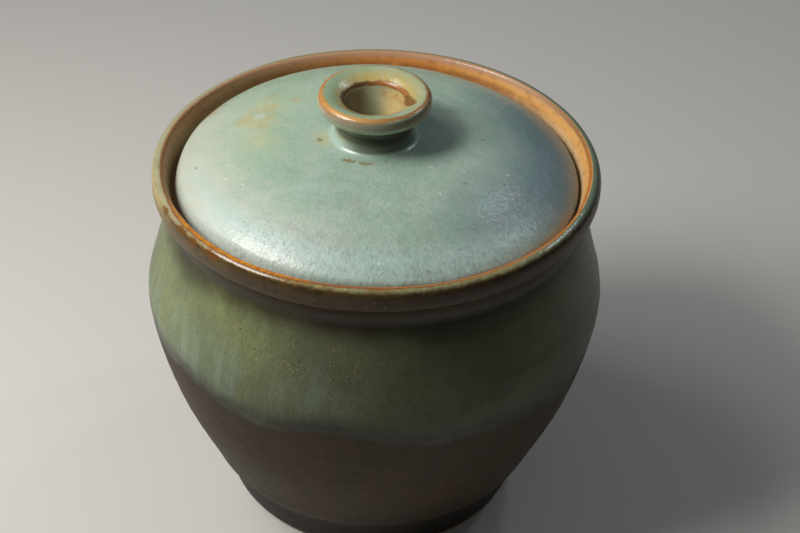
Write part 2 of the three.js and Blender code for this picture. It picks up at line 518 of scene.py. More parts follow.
class Glaze(Nodes):
    """One glaze. Its patterns are painted in millimetres about the piece's own axis."""

    def __init__(self, name, axis_x=0.0):
        self.material = bpy.data.materials.new(name)
        self.material.use_nodes = True
        super().__init__(self.material.node_tree)
        self.shader = self.tree.nodes["Principled BSDF"]
        origin = self.node("ShaderNodeTexCoord").outputs["Object"]
        self.place = self.node("ShaderNodeMapping", {"Vector": origin, "Location": (-axis_x / MM, 0, 0),
                                                     "Scale": (1 / MM, 1 / MM, 1 / MM)}).outputs[0]
        self.bench = self.stretched(origin, (1 / MM, 1 / MM, 1 / MM))  # about the jar's axis
        self.x, self.y, self.z = self.split(self.place)
        self.radius = self.length(self.x, self.y)
        self.azimuth = self.calc("ARCTAN2", self.y, self.x)
        self.inner = self.node("ShaderNodeAttribute", attribute_name="inner").outputs["Fac"]  # 1 inside

    # Masks, from 0 to 1

    def rise(self, value, start, end):
        """0 at start and before it, 1 at end and past it, eased between them."""
        falls = start > end
        inputs = {"Value": value, "From Min": min(start, end), "From Max": max(start, end),
                  "To Min": float(falls), "To Max": float(not falls)}
        return self.node("ShaderNodeMapRange", inputs, interpolation_type="SMOOTHSTEP").outputs[0]

    def band(self, value, centre, half, soft):
        """1 within half of centre, fading over soft on both sides."""
        away = self.calc("ABSOLUTE", self.minus(value, centre))
        return self.rise(away, half + soft, half)

    def both(self, *masks):
        return functools.reduce(self.times, masks)

    def most(self, *masks):
        return functools.reduce(functools.partial(self.calc, "MAXIMUM"), masks)

    def without(self, mask, other):
        return self.times(mask, self.minus(1.0, other))

    def patches(self, size, start, end, grain, seed, at=None):
        """Cloudy patches of a size: 0 where the noise is under start, 1 past end."""
        return self.rise(self.noise(at or self.place, size, grain, seed), start, end)

    def facing(self, degrees, start, end):
        """1 on the side that faces an azimuth. start and end are cosines of the angle off it."""
        off = self.minus(self.azimuth, math.radians(degrees))
        return self.rise(self.calc("COSINE", off), start, end)

    def away_from(self, x, y):
        """How far off the upright line through (x, y) a place is."""
        return self.length(self.minus(self.x, x), self.minus(self.y, y))

    def spot(self, x, y, size, soft, ragged=0.0, seed=0):
        """A spot at (x, y), seen from above, its edge made ragged by noise."""
        away = self.away_from(x, y)
        if ragged:
            away = self.plus(away, self.times(self.sway(size, ROUGH, seed), 2 * ragged))
        return self.rise(away, size + soft, size - soft)

    def spots(self, spots):
        return self.most(*[self.spot(*spot) for spot in spots])

    def dab(self, degrees, radius, half_length, half_width, soft, seed):
        """A ragged dab that lies along the rim, seen from above."""
        off = self.minus(self.azimuth, math.radians(degrees))
        along = self.times(off, radius / half_length)
        across = self.calc("DIVIDE", self.minus(self.radius, radius), half_width)
        away = self.plus(self.length(along, across), self.times(self.sway(DAB_FRAY, ROUGH, seed), DAB_RAGGED))
        return self.rise(away, 1.0 + soft, 1.0 - soft)

    def specks(self, spacing, size, share, seed, at=None):
        """Small round specks in a share of the cells of a random net."""
        place = self.moved(at or self.place, seed)
        net = self.node("ShaderNodeTexVoronoi", {"Vector": place, "Scale": 1 / spacing}, feature="F1")
        chosen = self.calc("LESS_THAN", self.split(net.outputs["Color"])[0], share)
        near = self.rise(net.outputs["Distance"], size / spacing, SPECK_CORE * size / spacing)
        return self.times(chosen, near)

    # Other numbers and places

    def sway(self, size, grain, seed):
        """A cloudy number that runs from about -0.5 to 0.5."""
        return self.minus(self.noise(self.place, size, grain, seed), 0.5)

    def radial(self, radius, stretch):
        """A place for strokes that run in and out along the radius."""
        around = self.calc("DIVIDE", radius, self.calc("MAXIMUM", self.radius, 1.0))
        return self.join(self.times(self.x, around), self.times(self.y, around),
                         self.times(self.radius, stretch))

    def level(self, under, mask, over):
        """A number that changes from under to over where the mask is 1."""
        return self.node("ShaderNodeMix", {0: mask, 2: under, 3: over}, data_type="FLOAT").outputs[0]

    # Paint, bumps and the finished material

    def paint(self, under, mask, over, strength=1.0):
        amount = mask if strength == 1.0 else self.times(mask, strength)
        return self.node("ShaderNodeMix", {0: amount, 6: under, 7: over}, data_type="RGBA").outputs[2]

    def coats(self, under, *coats):
        """Coats laid one over another, each a mask, a colour and, unless it is 1, a strength."""
        for coat in coats:
            under = self.paint(under, *coat)
        return under

    def relief(self, height, depth, under=None):
        """Bumps of a depth in millimetres, on top of other bumps."""
        inputs = {"Height": height, "Distance": depth * MM, "Strength": 1.0}
        if under:
            inputs["Normal"] = under
        return self.node("ShaderNodeBump", inputs).outputs[0]

    def fire(self, base, roughness, normal, coat, coat_roughness=0.14, specular=0.5):
        self.feed(self.shader.inputs["Base Color"], base)
        self.feed(self.shader.inputs["Roughness"], roughness)
        self.feed(self.shader.inputs["Normal"], normal)
        self.shader.inputs["Specular IOR Level"].default_value = specular
        self.shader.inputs["Coat Weight"].default_value = coat
        self.shader.inputs["Coat Roughness"].default_value = coat_roughness
        self.feed(self.shader.inputs["Coat Normal"], normal)
        return self.material


# The jar's glaze, from the bare foot up over the rim and down inside. Heights are above the table.

GLAZE_LINE = 69.9
GLAZE_LINE_WAVES = ((1, 3.7, 175), (4, 1.8, -10), (9, 1.35, -173))  # waves in a turn, lift, azimuth
FOOT_TOP = 15.6
NECK_FROM = 99.0
NECK_TO = 110.0
LEDGE = SEAT_HEIGHT / MM
BAND_FROM = 115.6
CREST_FROM = 121.8
CREST_RADIUS = 66.95
BARE_CLAY_ROUGHNESS = 0.88

# Drops on the band: azimuth, radius, half length, half width, softness and seed
BAND_DROPS = (
    (-154.6, 68.9, 2.0, 0.62, 0.45, 79),
    (-145.2, 68.8, 2.4, 0.66, 0.40, 86),
    (-139.6, 69.1, 1.8, 0.56, 0.50, 93),
    (-132.5, 69.0, 3.6, 0.56, 0.50, 94),
)


class JarGlaze(Glaze):
    """Olive above a wavy line and taupe below it, with a brown neck and band and an orange edge, and painted
    shade, a painted shadow under the band, a painted highlight and a painted sheen.
    """

    def __init__(self):
        super().__init__("jar glaze")
        self.ragged = self.sway(9.0, CLOUDY, 3)
        self.fringe = self.sway(2.2, ROUGH, 40)
        self.above = self.minus(self.z, self.glaze_line())

        # Runs and hair are drawn long by stretching the noise downwards
        self.runs_at = self.stretched(self.place, (1.0, 1.0, 0.12))
        self.hair_at = self.stretched(self.place, (1.0, 1.0, 0.14))
        self.clouds = self.patches(30.0, 0.35, 0.65, SOFT, 13)
        self.fine_runs = self.patches(3.0, 0.35, 0.7, ROUGH, 12, self.runs_at)

        nest = self.both(self.band(self.z, 95.5, 2.5, 5.5), self.facing(250, 0.88, 0.98))
        strays = self.both(self.specks(3.4, 0.26, 0.16, 33), self.band(self.z, 92.0, 7.0, 8.0))
        self.pits = self.most(self.both(self.specks(1.2, 0.30, 0.42, 21), nest), strays)
        self.dots = self.specks(4.6, 0.42, 0.14, 22)
        self.holes = self.both(self.specks(3.6, 0.42, 0.30, 36), self.band(self.above, 0.2, 1.0, 1.2))

        low = self.plus(self.z, self.times(self.ragged, 1.2))
        self.bare = self.without(self.rise(low, 2.6, 1.9), self.inner)

    def glaze_line(self):
        """The height of the glaze's lower edge at each azimuth."""
        line = GLAZE_LINE
        for waves, lift, crest in GLAZE_LINE_WAVES:
            turn = self.minus(self.times(self.azimuth, waves), math.radians(crest))
            line = self.plus(line, self.times(self.calc("COSINE", turn), lift))
        line = self.plus(line, self.times(self.ragged, 4.2))
        return self.plus(line, self.times(self.fringe, 1.6))

    def olive(self):
        """Above the line: blue-grey runs, fine hair, pits, a dark roll along the lower edge, and painted
        shade at the front right.
        """
        above = self.above
        broad_runs = self.patches(10.0, 0.42, 0.62, SOFT, 11, self.runs_at)
        hair = self.patches(0.5, 0.44, 0.70, FIBROUS, 32, self.hair_at)
        streaks = self.patches(4.0, 0.42, 0.68, LOOSE, 78, self.stretched(self.place, (1.0, 1.0, 0.08)))
        streaks = self.both(streaks, self.rise(above, 24.0, 9.0),
                            self.level(0.35, self.facing(222, 0.5, 0.95), 1.0))
        pale = self.both(self.facing(221, 0.95, 0.995), self.band(above, 13.0, 5.0, 10.0),
                         self.level(0.4, streaks, 1.0))
        roll = self.both(self.rise(above, -4.5, -2.8), self.rise(above, 8.0, 0.6),
                         self.level(0.70, self.patches(8.0, 0.35, 0.6, CLOUDY, 34), 1.0))
        return self.coats(
            OLIVE,
            (self.clouds, SAGE),
            (self.both(broad_runs, self.rise(above, 32.0, 4.0)), STREAK_BLUE, 0.7),
            (streaks, PALE_STREAK, 0.44),
            # painted shade: the body darkened at the front right
            (self.facing(314, 0.0, 0.75), PAINTED_SHADE_GREEN, 0.6),
            (self.fine_runs, DARK_GREEN, 0.16),
            (hair, DARK_GREEN, 0.34),
            (pale, PALE_STREAK, 0.4),
            (self.pits, PIT_TAN, 0.85),
            (self.dots, DARK_GREEN, 0.8),
            (roll, ROLL_GREEN, 0.95),
        )

    def taupe(self):
        """Below the line, where the glaze is thin, down to the grey foot. Painted shade darkens it at the
        left and at the foot.
        """
        return self.coats(
            TAUPE,
            (self.patches(9.0, 0.35, 0.7, EVEN, 14, self.runs_at), TAUPE_DARK, 0.6),
            (self.patches(26.0, 0.45, 0.7, SOFT, 15), FOOT_GREY, 0.4),
            (self.both(self.rise(self.above, -20.0, -2.0), self.clouds), TAUPE_GREEN, 0.6),
            (self.patches(0.7, 0.45, 0.7, FIBROUS, 35, self.hair_at), TAUPE_DARK, 0.25),
            (self.specks(3.1, 0.4, 0.16, 23), TAUPE_DARK, 0.7),
            # painted shade: the lower body darker at the left
            (self.facing(195, 0.2, 0.9), TAUPE_DARK, 0.55),
            # the foot's own dark grey, darkened further with painted shade next to the floor
            (self.rise(self.z, FOOT_TOP + 0.4, FOOT_TOP - 1.2), FOOT_GREY),
        )

    def rim_band(self):
        """The rolled band: brown and olive, gold at the left, and darkened with painted shade at the front
        right.
        """
        mottle = self.patches(5.0, 0.40, 0.64, CRUMBLY, 17)
        gold = self.both(self.facing(180, 0.84, 0.98), self.rise(self.z, 115.6, 117.4))
        gold_tone = self.coats(BAND_GOLD, (self.rise(self.z, 118.6, 121.0), BAND_LIGHT, 0.8),
                               (mottle, CREST_TAN, 0.30))
        return self.coats(
            BAND_BROWN,
            (mottle, BAND_OLIVE, 0.8),
            (self.patches(3.2, 0.50, 0.66, ROUGH, 18), BAND_DARK, 0.65),
            (gold, gold_tone, 0.9),
            # painted shade: the band darkened at the front right
            (self.facing(298, -0.15, 0.70), BAND_DARK, 0.66),
            (self.specks(2.4, 0.36, 0.2, 24), PIT_TAN, 0.6),
        )

    def rim_crest(self):
        """The top of the rim: olive, with brown blotches at the front left and teal at the right."""
        blotches = self.both(self.patches(4.0, 0.46, 0.60, ROUGH, 19), self.facing(228, 0.5, 0.9))
        streaky = self.patches(2.6, 0.35, 0.62, ROUGH, 39)
        return self.coats(
            CREST_OLIVE,
            (blotches, CREST_BROWN, 0.8),
            (self.both(self.facing(226, 0.7, 0.97), streaky), CREST_TAN, 0.8),
            (self.facing(170, 0.50, 0.90), self.paint(CREST_PALE, blotches, CREST_OLIVE, 0.5), 0.8),
            (self.facing(8, 0.35, 0.93), CREST_TEAL, 0.85),
            (self.both(self.specks(1.3, 0.34, 0.35, 25), self.facing(285, 0.2, 0.8)), CREST_SPECK, 0.7),
        )

    def gallery_wall(self):
        """The wall inside the rim: brown at the left, orange at the back, gold at the right, darker low down
        with painted shade, and with a painted sheen near its top at the back.
        """
        z = self.z
        golden = self.facing(8, 0.30, 0.92)
        low_wall_shade = self.both(self.rise(z, 120.6, 118.6), self.facing(90, 0.3, 0.9))
        return self.coats(
            WALL_BROWN,
            # painted shade: the wall stays darker brown low down, tan above
            (self.rise(z, 118.0, 121.5), WALL_TAN, 0.8),
            (self.facing(25, -0.30, 0.60), WALL_ORANGE),
            (golden, WALL_GOLD, 0.85),
            (self.both(golden, self.rise(z, 119.2, 117.4)), WALL_PALE, 0.6),
            # painted shade low on the back wall, next to the lid
            (self.both(low_wall_shade, self.patches(5.0, 0.2, 0.55, ROUGH, 37)), WALL_LOW_SHADE, 0.75),
            # painted sheen near the top of the wall at the back
            (self.both(self.facing(80, 0.30, 0.90), self.rise(z, 120.4, 121.8)), PAINTED_SHEEN_PINK, 0.6),
            (self.patches(2.6, 0.50, 0.68, CRUMBLY, 20), KNOB_BROWN, 0.3),
        )

    def inside(self):
        """The cavity's glaze, the bare ledge and the gallery's wall."""
        z = self.z
        ledge = self.both(self.band(z, LEDGE, 0.35, 0.25), self.rise(self.radius, 57.5, 58.3))
        wall = self.both(self.rise(z, 115.2, 115.9), self.rise(self.radius, 62.4, 63.2))
        return self.coats(
            INSIDE_GLAZE,
            (self.clouds, SAGE, 0.6),
            (self.fine_runs, DARK_GREEN, 0.14),
            (self.specks(3.4, 0.5, 0.3, 26), FLECK_BROWN, 0.7),
            (self.rise(z, 104.0, 112.0), WALL_BROWN),
            (ledge, CLAY),
            (wall, self.gallery_wall()),
        )

    def orange_edge(self):
        """The coats of the crest's inner edge, where the glaze breaks orange, with a painted sheen at the
        back.
        """
        top = self.rise(self.z, 121.5, 122.2)
        near_left = self.facing(229, 0.86, 0.975)
        wider = self.plus(self.times(near_left, 0.45), self.times(self.facing(268, 0.2, 0.7), 0.52))
        frayed = self.times(self.sway(2.2, ROUGH, 38), 1.1)
        edge_at = self.plus(self.minus(self.radius, wider), frayed)
        edge = self.both(top, self.rise(edge_at, CREST_RADIUS + 0.10, CREST_RADIUS - 0.30))
        border = self.both(top, self.band(edge_at, CREST_RADIUS + 0.02, 0.12, 0.26),
                           self.facing(240, 0.3, 0.8))
        grains = self.both(edge, self.facing(265, 0.2, 0.7), self.specks(1.1, 0.34, 0.35, 27))
        tone = self.coats(
            EDGE_TAN,
            (self.facing(295, 0.10, 0.60), EDGE_ORANGE),
            (self.facing(258, 0.95, 0.99), EDGE_RED, 0.8),
            (near_left, EDGE_GOLD),
            (self.both(near_left, self.patches(1.6, 0.42, 0.62, ROUGH, 87)), EDGE_RED, 0.55),
            # painted sheen on the edge at the back
            (self.facing(80, 0.35, 0.90), PAINTED_SHEEN_PINK, 0.8),
        )
        return (edge, tone, 0.95), (border, KNOB_BROWN, 0.7), (grains, BAND_DARK, 0.8)

    def colours(self):
        z = self.z
        # the neck's brown, darkened with a painted shadow of the rim band whose edge wavers and fades out
        # downwards
        neck_shadow_at = self.plus(z, self.times(self.sway(12.0, SOFT, 16), 8.0))
        # a painted highlight along the ridge at the band's lower edge
        lower_edge_highlight = self.both(self.band(z, BAND_FROM + 0.5, 0.2, 0.4), self.facing(248, 0.93, 0.985))
        crest_at = self.plus(self.times(self.fringe, 1.2),
                             self.minus(z, self.times(self.facing(280, 0.5, 0.9), 0.30)))
        drops = self.both(self.rise(z, 119.0, 120.4), self.most(*[self.dab(*drop) for drop in BAND_DROPS]))
        clay = self.paint(CLAY, self.patches(1.2, 0.3, 0.75, SANDY, 28), CLAY_DARK, 0.6)
        return self.coats(
            self.taupe(),
            (self.rise(self.above, -3.0, 0.8), self.olive()),
            (self.holes, PINHOLE, 0.85),
            # brown neck glaze and the painted shadow of the rim band
            (self.rise(neck_shadow_at, NECK_FROM, NECK_TO), NECK_BROWN_AND_SHADOW, 0.9),
            (self.rise(z, 109.5, 112.5), UNDER_BROWN),
            (self.rise(z, BAND_FROM, BAND_FROM + 0.9), self.rim_band()),
            # painted highlight on the band's lower edge
            (lower_edge_highlight, EDGE_TAN, 0.5),
            (self.rise(crest_at, CREST_FROM - 0.2, CREST_FROM + 0.8), self.rim_crest()),
            (drops, BAND_DROP, 0.85),
            (self.inner, self.inside()),
            *self.orange_edge(),
            (self.bare, clay),
        )

    def roughness(self):
        """Satin on the body, rougher below the line, and glossy over the crest."""
        rim = self.rise(self.z, 111.0, 115.0)
        rough = self.level(0.40, self.rise(self.above, 0.0, -2.0), 0.60)
        rough = self.level(rough, rim, self.level(0.36, self.rise(self.z, 120.8, 122.3), 0.08))
        rough = self.plus(rough, self.times(self.sway(6.0, CRUMBLY, 29), 0.16))
        rough = self.level(rough, self.both(self.inner, self.rise(self.z, 122.8, 122.4)), 0.50)
        return self.level(rough, self.bare, BARE_CLAY_ROUGHNESS)

    def skin(self):
        pocks = self.minus(1.0, self.most(self.pits, self.dots, self.holes))
        bumps = self.relief(self.noise(self.place, 2.2, EVEN, 30), 0.10)
        bumps = self.relief(pocks, 0.12, bumps)
        bumps = self.relief(self.rise(self.above, -4.0, 4.0), 0.05, bumps)
        return self.relief(self.noise(self.place, 0.7, CRUMBLY, 31), 0.03, bumps)

    def fired(self):
        return self.fire(self.colours(), self.roughness(), self.skin(), coat=0.04, specular=0.36)


# The lid's glaze. Spots are seen from above: x, y, size, softness, raggedness and seed.

LID_EDGE = 61.8
HAZE_SPOTS = (
    (-35, 19, 4.5, 4.0, 3.0, 45),
    (-37.5, 8, 5.0, 4.0, 3.0, 46),
    (-36, -3, 4.0, 4.0, 3.0, 47),
    (-15.5, -2, 4.0, 3.5, 2.5, 47),
)
KNOB_HALO = (-15.8, -4.5, 3.2, 2.4, 2.0, 95)
OCHRE_SPOTS = (
    (-34, 17.5, 2.0, 1.8, 2.0, 48),
    (-33.8, 26, 1.4, 1.4, 1.2, 48),
    (-41, 11, 2.0, 2.0, 2.0, 48),
    (-26, 21, 1.4, 1.3, 1.0, 48),
    (-35, 5, 1.6, 1.8, 1.6, 48),
)
OCHRE_GAP = (-37, 12, 1.6, 1.2, 1.0, 48)
ARCH_CENTRE = (-38.0, 11.0)
OLIVE_SPOTS = (
    (32.7, 0, 0.5, 0.4, 0.25, 49),
    (26.3, -23.9, 0.5, 0.4, 0.25, 49),
    (38.4, -20.8, 0.45, 0.4, 0.25, 49),
    (-55, -11, 0.5, 0.4, 0.25, 49),
)
WHITE_SPOTS = (
    (-45, -21, 0.3, 0.15),
    (16.5, -18, 0.3, 0.15),
    (39.6, -16, 0.3, 0.15),
    (18.7, -30, 0.3, 0.15),
    (1.0, -57.5, 0.3, 0.15),
)
CRAWL_PITS = (
    (-17.5, -4, 0.9, 0.7, 0.8, 83),
    (-9.6, -15.0, 0.8, 0.5, 0.9, 56),
    (-8.3, -15.5, 0.9, 0.5, 0.9, 56),
    (-7.0, -15.9, 0.7, 0.5, 0.9, 56),
    (-4.6, -16.7, 0.6, 0.5, 0.9, 56),
    (-3.3, -16.9, 0.7, 0.5, 0.9, 56),
    (-2.1, -16.9, 0.6, 0.5, 0.9, 56),
)


def celadon(look):
    """The lid's own glaze, which also runs up the foot of the knob."""
    at = look.bench
    fleck = look.paint(FLECK_BLUE, look.patches(4.0, 0.45, 0.55, SOFT, 53, at), FLECK_BROWN)
    return look.coats(
        CELADON,
        (look.patches(26.0, 0.34, 0.66, SOFT, 41, at), GREEN_CELADON, 0.8),
        (look.patches(9.0, 0.40, 0.68, CLOUDY, 42, at), PALE_CELADON, 0.45),
        (look.patches(1.3, 0.36, 0.66, ROUGH, 43, at), PALE_CELADON, 0.34),
        (look.patches(0.50, 0.54, 0.74, FIBROUS, 51, at), fleck, 0.26),
        (look.specks(1.2, 0.22, 0.4, 52, at), fleck, 0.45),
    )


class LidGlaze(Glaze):
    """Celadon, pale at the left and grey-blue at the right, with ochre stains behind the knob, and a painted
    sheen and highlight near the front edge.
    """

    def __init__(self):
        super().__init__("lid glaze")
        self.crawl = self.spots(CRAWL_PITS)
        self.seat = self.rise(self.z, LEDGE + 1.3, LEDGE + 0.7)

        # Short strokes run in and out near the edge, like fur
        drift = self.times(self.sway(5.0, SOFT, 88), 4.0)
        self.strokes_at = self.shifted(self.radial(55.0, 0.36), self.join(drift, drift, 0.0))
        self.fur = self.both(self.patches(0.50, 0.48, 0.64, SOFT, 50, self.strokes_at),
                             self.patches(3.0, 0.38, 0.60, SOFT, 82),
                             self.rise(self.radius, 46.0, 57.0), self.facing(-80, 0.1, 0.8))

    def tones_and_painted_light(self):
        """Broad tones: moss behind at the left, pale at the left, blue-grey at the right, a painted sheen
        along the front edge and a painted highlight on the edge at the front left.
        """
        radius = self.radius
        blush = self.both(self.patches(3.6, 0.50, 0.70, CRUMBLY, 72), self.facing(215, 0.1, 0.8))
        mauve = self.both(self.patches(8.0, 0.46, 0.68, CRUMBLY, 44), self.facing(-70, 0.0, 0.9),
                          self.rise(radius, 22.0, 44.0))
        rust = self.both(self.patches(0.6, 0.56, 0.70, RUSTY, 73), self.facing(-62, 0.5, 0.95),
                         self.band(radius, 40.0, 10.0, 8.0))
        return (
            (self.both(self.facing(140, -0.1, 0.8), self.rise(radius, 14.0, 34.0)), MOSS, 0.30),
            (self.both(self.facing(205, 0.3, 0.95), self.rise(radius, 34.0, 58.0)), BLUSH, 0.42),
            (blush, BLUSH, 0.18),
            (self.both(self.facing(-8, 0.38, 0.95), self.rise(radius, 28.0, 54.0)), BLUE_GREY, 0.88),
            (mauve, MAUVE_GREY, 0.42),
            (rust, FLECK_BROWN, 0.5),
            # painted sheen along the front edge
            (self.both(self.rise(radius, 50.0, 58.0), self.facing(-100, 0.1, 0.8)), PAINTED_SHEEN_BLUE, 0.7),
            # painted highlight on the edge at the front left
            (self.both(self.rise(radius, 55.0, 60.5), self.facing(228, 0.86, 0.97)), PAINTED_HIGHLIGHT_CREAM, 0.4),
        )

    def stains(self):
        """Cloudy ochre stains behind the knob, to the left, one of them bent into an arch."""
        arch = self.both(self.band(self.away_from(*ARCH_CENTRE), 4.6, 1.2, 1.6),
                         self.patches(3.2, 0.34, 0.60, ROUGH, 89), self.rise(self.y, 3.0, 9.0))
        return (
            (self.spots(HAZE_SPOTS), STAIN_HAZE, 0.48),
            (self.spot(*KNOB_HALO), STAIN_HAZE, 0.45),
            (arch, OCHRE_STAIN, 0.34),
            (self.spots(OCHRE_SPOTS), OCHRE_STAIN, 0.46),
            (self.spot(*OCHRE_GAP), PALE_CELADON, 0.7),
        )

    def flecks(self):
        """Fuzz at the front right, fur near the front edge, white specks and olive spots."""
        front_right = self.facing(-72, 0.42, 0.95)
        grey_fuzz = self.both(self.patches(0.75, 0.42, 0.64, ROUGH, 91, self.strokes_at), front_right)
        green_fuzz = self.both(self.patches(0.70, 0.44, 0.66, ROUGH, 92, self.strokes_at), front_right)
        return (
            (grey_fuzz, FUZZ_GREY, 0.26),
            (green_fuzz, FUZZ_GREEN, 0.24),
            (self.fur, FLECK_BLUE, 0.34),
            (self.specks(5.5, 0.4, 0.08, 54), WHITE_SPECK, 0.8),
            (self.specks(11.0, 0.6, 0.2, 55), OLIVE_SPOT, 0.6),
            (self.spots(OLIVE_SPOTS), OLIVE_SPOT, 0.6),
            (self.spots(WHITE_SPOTS), WHITE_SPECK),
        )

    def pits(self):
        """Where the glaze crawled back round the knob's foot."""
        from_knob = self.away_from(KNOB_AXIS / MM, 0.0)
        faint = self.both(self.band(from_knob, 16.8, 0.8, 0.8), self.patches(1.6, 0.48, 0.62, ROUGH, 96),
                          self.facing(-90, 0.75, 0.92))
        return (self.crawl, CRAWL_BROWN, 0.8), (faint, CRAWL_OLIVE, 0.5)

    def edge(self):
        """The edge is chafed at the left and breaks brown at the right, and the seat is bare."""
        radius = self.radius
        chafed = self.both(self.rise(radius, 54.0, 60.0), self.patches(5.0, 0.40, 0.64, CLOUDY, 74))
        worn = self.both(self.rise(radius, LID_EDGE, LID_EDGE + 0.9), self.patches(6.0, 0.3, 0.6, SOFT, 57),
                         self.facing(-10, -0.3, 0.8))
        return (
            (self.both(chafed, self.facing(197, 0.950, 0.995)), CHAFED_PINK, 0.3),
            (self.both(chafed, self.facing(153, 0.990, 0.999)), CHAFED_TAN, 0.7),
            (worn, EDGE_BROWN, 0.7),
            (self.seat, CLAY),
        )

    def fired(self):
        base = self.coats(celadon(self), *self.tones_and_painted_light(), *self.stains(), *self.flecks(), *self.pits(),
                          *self.edge())
        rough = self.plus(0.42, self.times(self.sway(5.0, CRUMBLY, 59), 0.2))
        rough = self.level(rough, self.seat, BARE_CLAY_ROUGHNESS)
        skin = self.relief(self.noise(self.place, 1.9, EVEN, 58), 0.16)
        skin = self.relief(self.minus(1.0, self.most(self.fur, self.crawl)), 0.03, skin)
        skin = self.relief(self.noise(self.place, 0.6, CRUMBLY, 60), 0.035, skin)
        return self.fire(base, rough, skin, coat=0.22, coat_roughness=0.12, specular=0.42)


# The knob's glaze, about the knob's own axis

KNOB_CREST = 15.9
KNOB_MOUTH = 9.7
KNOB_NICK = ((11.1, -4.4, 1.6), (10.6, -2.5, 1.6), (10.0, -0.6, 1.3), (9.5, 1.2, 1.0))  # x, y, size


class KnobGlaze(Glaze):
    """Pale green, orange where it breaks over the crest and the mouth, and darkened with painted shade under
    the lip.
    """

    def __init__(self):
        super().__init__("knob glaze", KNOB_AXIS)
        self.dish = self.both(self.rise(self.radius, KNOB_CREST + 0.2, KNOB_CREST - 0.8),
                              self.rise(self.z, 142.5, 143.5))
        self.ripple = self.sway(3.0, ROUGH, 64)
        mouth_at = self.plus(self.radius, self.times(self.ripple, 2.4))
        self.mouth = self.both(self.band(mouth_at, KNOB_MOUTH - 0.2, 0.55, 0.6),
                               self.rise(self.plus(self.z, self.ripple), 142.3, 143.0))

    def dish_coats(self):
        """Pale green in the dish, with ochre crumbs round the mouth."""
        radius, dish = self.radius, self.dish
        around = self.both(dish, self.rise(radius, KNOB_MOUTH + 3.6, KNOB_MOUTH + 1.4))
        beside = self.both(dish, self.rise(radius, KNOB_CREST - 0.5, KNOB_MOUTH + 2.0),
                           self.facing(55, -0.3, 0.6))
        return (
            (self.both(dish, self.facing(190, 0.2, 0.9)), DISH_GREEN, 0.6),
            (self.both(dish, self.facing(20, 0.0, 0.8)), DISH_PALE, 0.5),
            (self.both(around, self.patches(1.0, 0.40, 0.56, GRITTY, 62)), KNOB_OCHRE, 0.75),
            (self.both(beside, self.patches(1.6, 0.30, 0.56, GRITTY, 75)), KNOB_OCHRE, 0.7),
            (self.both(dish, self.specks(1.1, 0.3, 0.25, 63)), KNOB_BROWN, 0.45),
        )

    def crest_coats(self):
        """The lip's crest breaks orange, lower and wider at the front left."""
        crest_at = self.plus(self.radius, self.times(self.ripple, 0.9))
        cream = self.both(self.rise(self.radius, 16.0, 16.8), self.band(self.z, 144.3, 0.7, 0.9),
                          self.facing(195, 0.2, 0.85))
        lower = self.times(self.facing(232, 0.3, 0.95), 0.45)
        crest = self.most(self.band(crest_at, KNOB_CREST + 0.25, 0.18, 0.65),
                          self.band(self.minus(crest_at, lower), KNOB_CREST + 0.5, 0.25, 0.6))
        crest = self.both(crest, self.rise(self.plus(self.z, self.times(lower, 1.6)), 144.4, 145.3),
                          self.level(0.95, self.facing(80, 0.3, 0.9), 0.45))
        tone = self.coats(
            KNOB_LIP,
            (self.patches(1.2, 0.40, 0.60, ROUGH, 71), KNOB_LIP_CORE, 0.85),
            (self.facing(248, 0.4, 0.9), KNOB_LIP_BRIGHT, 0.65),
            (self.facing(-35, 0.2, 0.9), KNOB_BROWN, 0.6),
        )
        return (cream, LIP_CREAM, 0.7), (crest, tone)

    def mouth_coats(self):
        """The mouth's edge breaks brown, with a gritty ring before it at the front."""
        gritty = self.both(self.dish, self.facing(265, 0.3, 0.8),
                           self.band(self.radius, KNOB_MOUTH + 2.3, 0.6, 0.7),
                           self.patches(0.8, 0.40, 0.54, ROUGH, 90))
        tone = self.coats(KNOB_BROWN, (self.facing(30, -0.2, 0.8), EDGE_ORANGE, 0.6),
                          (self.facing(155, 0.3, 0.9), MOUTH_DARK, 0.7))
        return (gritty, GRIT_OCHRE, 0.85), (self.mouth, tone, 0.9)

    def hollow_coats(self):
        """The hollow: umber at the left, deepened there with painted shade, grey-green at the back, cream and
        orange at the right.
        """
        hollow = self.both(self.rise(self.radius, KNOB_MOUTH + 0.1, KNOB_MOUTH - 0.5),
                           self.rise(self.z, 145.5, 143.0))
        rusty = self.both(self.facing(35, 0.3, 0.9), self.patches(1.8, 0.45, 0.6, CRUMBLY, 77),
                          self.rise(self.z, 138.0, 142.0))
        deep = self.coats(
            KNOB_DEEP,
            (self.patches(2.6, 0.45, 0.62, CRUMBLY, 65), KNOB_OCHRE, 0.10),
            # umber glaze and painted shade on the left inside wall
            (self.facing(175, 0.15, 0.75), KNOB_UMBER_AND_SHADE, 0.85),
            (self.facing(25, 0.45, 0.92), KNOB_CREAM, 0.8),
            (rusty, EDGE_ORANGE, 0.6),
        )
        nick = self.most(*[self.spot(x, y, size, 0.35, 0.6, 84) for x, y, size in KNOB_NICK])
        return (
            (self.without(hollow, self.mouth), deep),
            (self.both(nick, self.rise(self.z, 140.5, 141.5)), NICK_BROWN, 0.92),
        )

    def side_coats(self):
        """Outside, from the lip down to the foot, where the lid's glaze runs up, with painted shade on the
        lip's front face, the waist and the waist's front.
        """
        radius, z = self.radius, self.z
        lip = self.both(self.rise(radius, 14.5, 16.0), self.band(z, 142.2, 1.2, 0.8),
                        self.patches(2.8, 0.4, 0.6, ROUGH, 67))
        waist = self.both(self.band(z, 137.2, 2.2, 2.0), self.rise(radius, 9.4, 10.2))
        shade = self.both(self.band(z, 144.2, 0.7, 0.9), self.rise(radius, 16.2, 17.0),
                          self.facing(-80, -0.2, 0.7))
        foot = self.both(self.rise(z, 134.5, 132.0), self.rise(radius, 9.0, 10.0))
